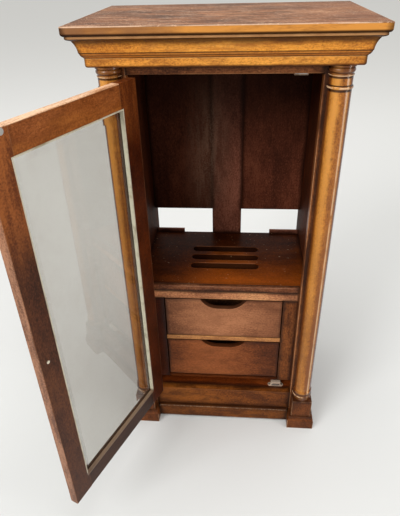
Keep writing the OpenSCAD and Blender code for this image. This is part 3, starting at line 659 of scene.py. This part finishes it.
def column_touch(place, colour, stain):
    """Painted amber highlight and glint, painted brown shade, and shade and glaze in the rings.
    """
    shade_brown, low_brown = paint(126, 70, 28), paint(120, 70, 34)
    head_brown, foot_brown = paint(98, 54, 25), paint(84, 44, 20)

    # How far each line down the column is from its axis: the amber painted highlight to the
    # left, the brown painted shade to the right, and the pale painted glint outwards, on the
    # right column alone
    highlight_line, shade_line, glint_line = 11 * MM, 6 * MM, 12.4 * MM

    from_middle = abs(place.along(X) - CASE_MIDDLE)
    outwards = from_middle - CASE_MIDDLE
    on_right = place.along(X).fade(CASE_MIDDLE - 1 * MM, CASE_MIDDLE + 1 * MM)
    uneven = place.ragged(14.0, 9 * MM, detail=4.0) + place.ragged(90.0, 6 * MM, detail=2.0)
    across = outwards * (on_right * 2.0 - 1.0) + uneven
    # Towards the foot the painted highlight fades and the wood turns browner
    low = 1.0 - place.towards(Z, 0.35, 1.15, scale=6.0, sway=0.3)

    # An amber painted highlight down the front of the column
    front = abs(across + highlight_line).fade(13 * MM, 1 * MM)
    colour = colour.mix(stain.pale, front * (0.8 - low * 0.5))
    # Brown painted shade beside the highlight
    beside = abs(across - shade_line).fade(9 * MM, 1 * MM)
    colour = colour.mix(shade_brown, beside * (low * 0.5 + 0.4))
    colour = colour.mix(low_brown, low * 0.35)
    # A pale painted glint near the outer edge of the right column
    wear_and_glint = abs(from_middle - (CASE_MIDDLE + glint_line)).fade(2.6 * MM, 0.8 * MM)
    wear_and_glint = wear_and_glint * place.noise(18.0, 3.0).fade(0.2, 0.5)
    colour = colour.mix(stain.worn, wear_and_glint * on_right * 0.6)
    # Painted shade on both sides of the column, where it turns away from the light
    sides = outwards.fade(15.5 * MM, 18.5 * MM).most(outwards.fade(-18.5 * MM, -22.5 * MM))
    colour = colour.mix(stain.dark, sides * 0.9)

    # Painted shade with dark glaze in the hollows of the turnings
    colour = colour.mix(GLAZE_AND_SHADE, lines_at(place, COLUMN_HOLLOWS) * 0.9)
    colour = colour.mix(head_brown, place.along(Z).fade(*COLUMN_HEAD) * 0.75)
    colour = colour.mix(foot_brown, (1.0 - place.along(Z).fade(*COLUMN_FOOT)) * 0.75)
    patchy = place.noise(60.0, 3.0).fade(0.38, 0.55)
    # The beads are pale, partly worn and partly a painted highlight; the foot ring is a painted
    # highlight on its lit side alone
    lit_foot_ring = lines_at(place, COLUMN_FOOT_RING) * across.fade(4 * MM, -6 * MM)
    rings_rubbed_and_lit = lines_at(place, COLUMN_BEADS).most(lit_foot_ring)
    return colour.mix(stain.worn, rings_rubbed_and_lit * patchy * 0.8)


def shelf_touch(place, colour, stain):
    """Painted shade to the back, left and in the slots, painted orange light, worn slot rims.
    """
    pool_of_light_orange, fleck_tan = paint(168, 88, 34), paint(214, 176, 140)
    rim_tan = paint(176, 112, 76)

    # Painted shade towards the back and the left of the shelf, and painted light at its front
    # right
    lit_front = place.towards(Y, 0.3, 0.1, scale=7.0, sway=0.14)
    right = place.towards(X, 0.1, 0.3, scale=5.0, sway=0.1)
    colour = colour.mix(stain.dark, (1.0 - lit_front * right) * 0.7)
    colour = colour.mix(stain.pale, lit_front * right * 0.4)
    # An orange pool of painted light between the slots
    deep = abs(place.along(Y) - SHELF_LIGHT_Y).fade(38 * MM, 28 * MM)
    wide = abs(place.along(X) - SHELF_LIGHT_X).fade(84 * MM, 40 * MM)
    lit = place.noise(16.0, 3.0).fade(0.3, 0.6)
    colour = colour.mix(pool_of_light_orange, deep * wide * lit * 0.6)
    rims = lines_at(place, SLOT_RIMS, Y)
    rims = rims * abs(place.along(X) - CASE_MIDDLE).fade(*SLOT_ENDS)
    colour = colour.mix(rim_tan, rims * lit * 0.6)
    # Painted shade on the faces below the top, the slot walls among them
    colour = colour.mix(GLAZE_AND_SHADE, (1.0 - place.along(Z).fade(*SHELF_FACE)) * 0.85)
    flecks = place.noise(150.0, 1.0).fade(0.73, 0.79)
    return colour.mix(fleck_tan, flecks * 0.5)


def inner_touch(place, colour, stain):
    """Painted shade towards the top and left of the compartment, a paler streaked patch
    between.
    """
    patch_brown, patch_tan = paint(112, 78, 62), paint(176, 138, 114)

    # Painted shade, darkest towards the top and the left of the compartment
    high = place.towards(Z, 0.72, 1.08, scale=5.0, sway=0.15)
    left = place.towards(X, 0.34, 0.08, scale=4.0, sway=0.1)
    colour = colour.mix(GLAZE_AND_SHADE, (high * 0.8).most(left * 0.5))
    pale_patch = abs(place.along(X) + place.noise(3.0, 2.0) * 0.06 - PALE_PATCH_X).fade(0.085, 0.0)
    pale_patch = pale_patch * abs(place.along(Z) - PALE_PATCH_Z).fade(0.26, 0.02)
    return colour.mix(streaked(place, Z, patch_brown, patch_tan), pale_patch * 0.5)


def drawer_touch(place, colour, stain):
    """A paler middle as painted glare, a darker right side, and painted shade on edges behind.
    """
    edge_brown = paint(58, 28, 14)
    # Painted glare, paler in the middle of the face
    sideways = abs(place.along(X) - DRAWER_GLARE_X) + place.noise(8.0, 4.0) * 0.1
    colour = colour.mix(stain.pale, sideways.fade(0.2, 0.06) * 0.35)
    right = place.towards(X, 0.32, 0.44, scale=8.0, sway=0.1)
    colour = colour.mix(stain.dark, right * 0.5)
    # Painted shade on the edges behind the face and in the finger cut
    behind = place.along(Y).fade(DRAWER_FACE + 1.2 * MM, DRAWER_FACE + 3.0 * MM)
    return colour.mix(edge_brown, behind * 0.85)


def bare_door_top(place, colour, grain):
    """The upper edge of the door, worn pale."""
    bare = streaked(place, grain, paint(168, 116, 78), paint(238, 196, 158))
    return colour.mix(bare, place.along(Z).fade(*DOOR_TOP_WEAR) * 0.95)


def door_top_touch(place, colour, stain):
    """Amber along the middle of the rail, and a worn upper edge."""
    middle = abs(place.along(Z) + place.ragged(7.0, 0.08) - DOOR_RAIL_MIDDLE)
    amber = streaked(place, X, paint(128, 68, 26), paint(186, 112, 50))
    colour = colour.mix(amber, middle.fade(0.03, 0.0) * 0.55)
    return bare_door_top(place, colour, X)


def door_hinge_touch(place, colour, stain):
    """The colour of the top rail at the top of the stile."""
    high = place.towards(Z, 0.93, 1.05, scale=9.0, sway=0.08)
    brown = streaked(place, Z, paint(92, 42, 16), paint(140, 74, 32))
    return colour.mix(brown, high * 0.8)


def door_free_touch(place, colour, stain):
    """Orange brown at the top of the stile, and a paler, worn outer edge."""
    high = place.towards(Z, 0.86, 1.1, scale=6.0, sway=0.24, detail=4.0)
    orange = streaked(place, Z, paint(112, 56, 24), paint(180, 104, 50))
    colour = colour.mix(orange, high * 0.8)
    outer = place.along(X).fade(DOOR_FREE_SIDE - 2.4 * MM, DOOR_FREE_SIDE - 0.6 * MM)
    wear_and_glint = streaked(place, Z, paint(112, 70, 48), paint(186, 134, 102))
    colour = colour.mix(wear_and_glint, outer * 0.8)
    return bare_door_top(place, colour, Z)


TOUCHES = {
    "shelf": shelf_touch,
    "upper_drawer_front": drawer_touch,
    "lower_drawer_front": drawer_touch,
    "door_rail_top": door_top_touch,
    "door_stile_free": door_free_touch,
    "door_stile_hinge": door_hinge_touch,
    "back_panel_left": inner_touch,
    "back_panel_right": inner_touch,
    "back_stile": inner_touch,
    "top_slab": top_touch,
    "crown_front": crown_touch,
    "crown_left": crown_touch,
    "crown_right": crown_touch,
    "band_front": band_touch,
    "band_left": band_touch,
    "band_right": band_touch,
    "column_left": column_touch,
    "column_right": column_touch,
}


# ------------------------------------------------------------------ other finishes


def clear_glass(name):
    """Clear plate glass, faintly uneven in tint. It casts only a light shadow."""
    material, start, place = new_material(name)
    dust = place.noise(9.0, 5.0, 0.7) * 0.7 + place.noise(60.0, 3.0, 0.6) * 0.3
    inputs = {
        "Base Color": dust.fade(0.4, 0.7).between(paint(207, 204, 198), paint(202, 198, 191)),
        "Roughness": 0.0,
        "Transmission Weight": 1.0,
        "IOR": 1.45,
    }
    glass = start.node("BsdfPrincipled", {}, inputs)
    see_through = start.node("BsdfTransparent", {}, {"Color": paint(240, 244, 241)})
    shadow = start.node("LightPath", {}, {}, "Is Shadow Ray")
    mixed = start.node("MixShader", {}, {0: shadow, 1: glass, 2: see_through})
    start.node("OutputMaterial", {}, {"Surface": mixed}, None)
    return material


def strip_touch(place, colour):
    """Painted shade in brown along the lower part of the strip at the bottom of the glass."""
    # Painted shade, darker towards the bottom of the strip
    height = place.along(Z) + place.ragged(90.0, 6 * MM)
    return colour.mix(paint(118, 94, 74), 1.0 - height.fade(*GLAZING_STRIP_SHADE))


def moulded_plastic(name, fresh, soiled, rough, touch=None):
    """Pale moulded plastic, yellowed and soiled in places."""
    material, start, place = new_material(name)
    soil = place.noise(30.0, 4.0, 0.65)
    colour = soil.fade(0.45, 0.75).between(fresh, soiled)
    if touch:
        colour = touch(place, colour)
    surface(
        start,
        place.noise(900.0, 2.0),
        bump=0.15,
        depth=0.2 * MM,
        Base_Color=colour,
        Roughness=rough + soil * 0.2,
        Specular_IOR_Level=0.5,
    )
    return material


def metal(name, bright, tarnish, rough, share):
    """Drawn metal, tarnished in clouds over a share of it."""
    material, start, place = new_material(name)
    brushed = place.stretched((1.0, 1.0, 0.05)).noise(2600.0, 1.0)
    tarnished = place.noise(120.0, 4.0, 0.65).fade(0.62 - share * 0.3, 0.72) * 0.9
    surface(
        start,
        brushed,
        bump=0.12,
        depth=0.1 * MM,
        Base_Color=tarnished.between(bright, tarnish),
        Metallic=1.0 - tarnished * 0.25,
        Roughness=rough + tarnished * 0.25 + brushed * 0.1,
    )
    return material


# The finish of each material slot that isn't wood, and of single nodes that differ from
# the rest of their slot
SLOT_FINISHES = {
    "glass": clear_glass("clear_glass"),
    "strip_plastic": moulded_plastic(
        "glazing_strip", paint(206, 198, 176), paint(160, 146, 120), 0.3, strip_touch
    ),
    "catch_plastic": moulded_plastic(
        "catch_shell", paint(206, 182, 160), paint(140, 104, 78), 0.42
    ),
    "magnet_steel": metal("magnet_plates", paint(190, 188, 184), paint(110, 96, 84), 0.3, 0.3),
    "hardware_steel": metal("zinc_steel", paint(186, 184, 180), paint(112, 100, 88), 0.28, 0.4),
    "hinge_brass": metal("aged_hinge_brass", paint(196, 160, 92), paint(92, 66, 38), 0.3, 0.7),
    "knob_brass": metal("aged_knob_brass", paint(178, 140, 78), paint(70, 48, 28), 0.28, 0.8),
}
NODE_FINISHES = {
    "knob_screw": metal("bright_screw", paint(240, 230, 208), paint(206, 190, 164), 0.4, 0.1),
}


# ------------------------------------------------------------------ boards

# Each wooden piece: its material slot, its stain, the way its grain runs, and how far its
# edges are rounded in millimetres
BOARDS = {
    "top_slab": ("top_wood", "top", X, 1.2),
    "crown_front": ("crown_wood", "crown", X, 0.6),
    "crown_left": ("crown_wood", "crown", Y, 0.6),
    "crown_right": ("crown_wood", "crown", Y, 0.6),
    "band_front": ("band_wood", "band", X, 1.0),
    "band_left": ("band_wood", "band", Y, 1.0),
    "band_right": ("band_wood", "band", Y, 1.0),
    "head_rail": ("band_wood", "head", X, 1.0),
    "top_panel": ("inner_wood", "inner", X, 0.5),
    "side_panel_left": ("side_wood", "side", Z, 0.8),
    "side_panel_right": ("side_wood", "side", Z, 0.8),
    "post_left": ("post_wood", "post", Z, 1.2),
    "post_right": ("post_wood", "post", Z, 1.2),
    "column_left": ("column_wood", "column", Z, 0.5),
    "column_right": ("column_wood", "column", Z, 0.5),
    "column_block_left": ("base_wood", "base", Z, 1.5),
    "column_block_right": ("base_wood", "base", Z, 1.5),
    "feet": ("base_wood", "base", Z, 1.2),
    "plinth_rail_front": ("base_wood", "base_front", X, 2.0),
    "plinth_rails_side": ("base_wood", "base_front", Y, 2.0),
    "front_rail": ("base_wood", "rail", X, 1.2),
    "floor_board": ("inner_wood", "floor_board", X, 0.6),
    "back_stile": ("inner_wood", "back_stile", Z, 0.8),
    "back_panel_left": ("inner_wood", "inner", Z, 0.6),
    "back_panel_right": ("inner_wood", "inner", Z, 0.6),
    "back_panels_lower": ("inner_wood", "back_stile", Z, 0.8),
    "shelf": ("shelf_wood", "shelf", X, 1.0),
    "shelf_lipping": ("shelf_wood", "lipping", X, 1.2),
    "bay_top_rail": ("bay_wood", "bay", X, 1.0),
    "bay_stile_left": ("bay_wood", "bay_hinge_side", Z, 1.0),
    "bay_stile_right": ("bay_wood", "bay_side", Z, 1.0),
    "bay_divider": ("bay_wood", "divider", X, 1.2),
    "bay_floor": ("inner_wood", "bay_floor", X, 0.8),
    "bay_partitions": ("inner_wood", "inner", Z, 0.8),
    "door_stile_hinge": ("door_wood", "door_hinge", Z, 1.2),
    "door_stile_free": ("door_wood", "door_free", Z, 1.2),
    "door_rail_top": ("door_wood", "door_top", X, 1.2),
    "door_rail_bottom": ("door_wood", "door_low", X, 1.2),
    "upper_drawer_front": ("drawer_front_wood", "drawer_upper", X, 1.4),
    "lower_drawer_front": ("drawer_front_wood", "drawer_lower", X, 1.4),
    "upper_drawer_sides": ("drawer_box_wood", "drawer_box", Y, 0.8),
    "upper_drawer_back": ("drawer_box_wood", "drawer_box", X, 0.8),
    "upper_drawer_bottom": ("drawer_box_wood", "drawer_box", X, 0.4),
    "lower_drawer_sides": ("drawer_box_wood", "drawer_box", Y, 0.8),
    "lower_drawer_back": ("drawer_box_wood", "drawer_box", X, 0.8),
    "lower_drawer_bottom": ("drawer_box_wood", "drawer_box", X, 0.4),
}

# Boards with a smaller gap than this meet
MEETING_GAP = 4 * MM


def on_door(node):
    """Whether a board belongs to the door."""
    return node.startswith("door_")


def linked_groups(verts):
    """The vertices of each separate solid, as sets of their numbers."""
    left = set(verts)
    groups = []
    for vert in verts:
        if vert not in left:
            continue
        group, front = set(), [vert]
        left.discard(vert)
        while front:
            at = front.pop()
            group.add(at.index)
            for edge in at.link_edges:
                other = edge.other_vert(at)
                if other in left:
                    left.discard(other)
                    front.append(other)
        groups.append(group)
    return groups


def solids_of(node):
    """The separate solids of a CAD node, each as a welded mesh of whole faces."""
    whole = bmesh.new()
    whole.from_mesh(frame["nodes"][node].data)
    bmesh.ops.remove_doubles(whole, verts=whole.verts, dist=0.002 * MM)
    flat = math.radians(0.2)
    bmesh.ops.dissolve_limit(
        whole, angle_limit=flat, verts=whole.verts, edges=whole.edges, delimit={"NORMAL"}
    )
    whole.verts.index_update()
    parts = []
    for group in linked_groups(whole.verts):
        part = whole.copy()
        part.verts.ensure_lookup_table()
        away = [vert for vert in part.verts if vert.index not in group]
        bmesh.ops.delete(part, geom=away, context="VERTS")
        parts.append(part)
    whole.free()
    return parts


def shown_copy(node, part, name, turn):
    """A piece that stands for a solid of a CAD node, and rides as that node does."""
    mesh = bpy.data.meshes.new(name)
    if turn:
        part.transform(turn.inverted())
    part.to_mesh(mesh)
    part.free()
    piece = bpy.data.objects.new(name, mesh)
    bpy.context.scene.collection.objects.link(piece)
    if turn:
        piece.matrix_world = turn
    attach(piece, frame["nodes"][node]["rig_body"])
    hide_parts(node)
    return piece


def round_edges(piece, width):
    """Rounds the hard edges of a piece and keeps its flat faces flat in the light."""
    piece.data.shade_smooth()
    rounding = piece.modifiers.new("rounded_edges", "BEVEL")
    rounding.width = width * MM
    rounding.segments = 3
    rounding.limit_method = "ANGLE"
    rounding.angle_limit = math.radians(32)
    rounding.miter_outer = "MITER_ARC"
    flats = piece.modifiers.new("flat_faces", "WEIGHTED_NORMAL")
    flats.keep_sharp = True


def box_of(piece):
    """Lowest and highest corner of a piece in its own axes."""
    places = [vert.co for vert in piece.data.vertices]
    low = Vector([min(place[axis] for place in places) for axis in (X, Y, Z)])
    high = Vector([max(place[axis] for place in places) for axis in (X, Y, Z)])
    return low, high


def meets(first, second, gap):
    """Whether two boxes come closer than a gap."""
    return all(
        first[0][axis] - gap < second[1][axis] and second[0][axis] - gap < first[1][axis]
        for axis in (X, Y, Z)
    )


def set_boards():
    """Shows every wooden board by a rounded copy in its own piece of wood."""
    shown = []
    for node, (slot, stain, grain, rounding) in BOARDS.items():
        turn = DOOR_TURN if on_door(node) else None
        parts = solids_of(node)
        for index, part in enumerate(parts):
            name = f"{node}_wood" if len(parts) == 1 else f"{node}_wood_{index + 1}"
            piece = shown_copy(node, part, name, turn)
            shown.append((piece, node, stain, grain, box_of(piece)))
            round_edges(piece, rounding)
    for number, (piece, node, stain, grain, box) in enumerate(shown):
        corners = [
            other_box
            for other, other_node, _, _, other_box in shown
            if other is not piece
            and on_door(other_node) == on_door(node)
            and meets(box, other_box, MEETING_GAP)
        ]
        name = f"{stain}_{piece.name}"
        touch = TOUCHES.get(node)
        finish = wood(name, STAINS[stain], grain, *box, number, corners, touch)
        piece.data.materials.append(finish)


def set_finishes():
    """Gives glass, metal and plastic nodes their finish straight on the solid."""
    for name, node in frame["nodes"].items():
        if name in BOARDS:
            continue
        for held in node.material_slots:
            slot = held.material.name.split(".")[0]
            held.material = NODE_FINISHES.get(name) or SLOT_FINISHES[slot]


# ------------------------------------------------------------------ floor, light, camera

# Half the width of the floor, in metres
FLOOR_HALF = 45.0

# Each lamp: where it hangs, what it points at, its width and height, and its power in watts
LAMPS = {
    "window_left": ((-2.9, -3.9, 3.8), (0.2, 0.1, 0.7), 2.6, 2.6, 205),
    "window_right": ((3.2, -1.6, 1.3), (0.3, 0.0, 0.8), 0.5, 2.6, 34),
    "ceiling": ((0.4, -0.4, 4.6), (0.3, 0.1, 0.5), 2.6, 2.6, 70),
}

# The camera: its place, its turns in degrees, and its lens and film width in millimetres
CAMERA_AT = (0.2769, -1.0430, 1.2518)
CAMERA_YAW, CAMERA_PITCH, CAMERA_ROLL = -5.309, -32.143, -1.613
CAMERA_LENS, CAMERA_FILM = 43.56, 36.0


def lay_floor():
    """A wide pale floor that also makes the background."""
    material, start, place = new_material("pale_floor")
    near_grey, far_grey = paint(212, 213, 212), paint(240, 241, 240)
    bounced = paint(170, 166, 160)
    seen = place.towards(Y, -0.8, 4.0, scale=0.7, sway=0.4).between(near_grey, far_grey)
    colour = seen.mix(bounced, start.node("LightPath", {}, {}, "Is Diffuse Ray"))
    surface(start, Base_Color=colour, Roughness=1.0, Specular_IOR_Level=0.0)
    mesh = bpy.data.meshes.new("floor")
    signs = ((-1, -1), (1, -1), (1, 1), (-1, 1))
    corners = [(x * FLOOR_HALF, y * FLOOR_HALF, 0) for x, y in signs]
    mesh.from_pydata(corners, [], [(0, 1, 2, 3)])
    floor = bpy.data.objects.new("floor", mesh)
    floor.data.materials.append(material)
    bpy.context.scene.collection.objects.link(floor)


def light_room():
    """Soft light from all round, stronger from above, in front of a plain pale backdrop."""
    world = bpy.data.worlds.new("soft_room")
    world.use_nodes = True
    world.node_tree.nodes.clear()
    start = Wire(world.node_tree)
    daylight, backdrop = paint(252, 250, 246), paint(218, 219, 216)
    from_above, all_round = 0.6, 0.3
    up = start.node("TexCoord", {}, {}, "Generated").along(Z)
    strength = up.most(0.0) * from_above + all_round
    light = start.node("Background", {}, {"Color": daylight, "Strength": strength})
    seen = start.node("Background", {}, {"Color": backdrop, "Strength": 1.0})
    path = start.node("LightPath", {}, {}, "Is Camera Ray")
    for ray in ("Is Glossy Ray", "Is Transmission Ray"):
        path = path.most(start.node("LightPath", {}, {}, ray))
    shown = start.node("MixShader", {}, {0: path, 1: light, 2: seen})
    start.node("OutputWorld", {}, {"Surface": shown}, None)
    bpy.context.scene.world = world


def hang_lamps():
    """Large soft lamps."""
    for name, (at, towards, width, height, watts) in LAMPS.items():
        lamp = bpy.data.lights.new(name, "AREA")
        lamp.shape = "RECTANGLE"
        lamp.size = width
        lamp.size_y = height
        lamp.energy = watts
        held = bpy.data.objects.new(name, lamp)
        held.location = at
        ahead = Vector(towards) - Vector(at)
        held.rotation_euler = ahead.to_track_quat("-Z", "Y").to_euler()
        bpy.context.scene.collection.objects.link(held)


def set_camera():
    """The camera, looking down at the open case from in front of it."""
    yaw, pitch, roll = (
        math.radians(angle) for angle in (CAMERA_YAW, CAMERA_PITCH, CAMERA_ROLL)
    )
    ahead = Vector(
        (math.sin(yaw) * math.cos(pitch), math.cos(yaw) * math.cos(pitch), math.sin(pitch))
    )
    level = Vector((math.cos(yaw), -math.sin(yaw), 0))
    above = level.cross(ahead)
    right = level * math.cos(roll) + above * math.sin(roll)
    up = above * math.cos(roll) - level * math.sin(roll)
    camera = bpy.data.cameras.new("camera")
    camera.sensor_fit = "HORIZONTAL"
    camera.sensor_width = CAMERA_FILM
    camera.lens = CAMERA_LENS
    camera.clip_end = 200.0
    held = bpy.data.objects.new("camera", camera)
    turn = Matrix((right, up, -ahead)).transposed().to_4x4()
    held.matrix_world = Matrix.Translation(CAMERA_AT) @ turn
    bpy.context.scene.collection.objects.link(held)
    bpy.context.scene.camera = held


set_boards()
set_finishes()
lay_floor()
light_room()
hang_lamps()
set_camera()
bpy.context.scene.view_settings.view_transform = "Standard"
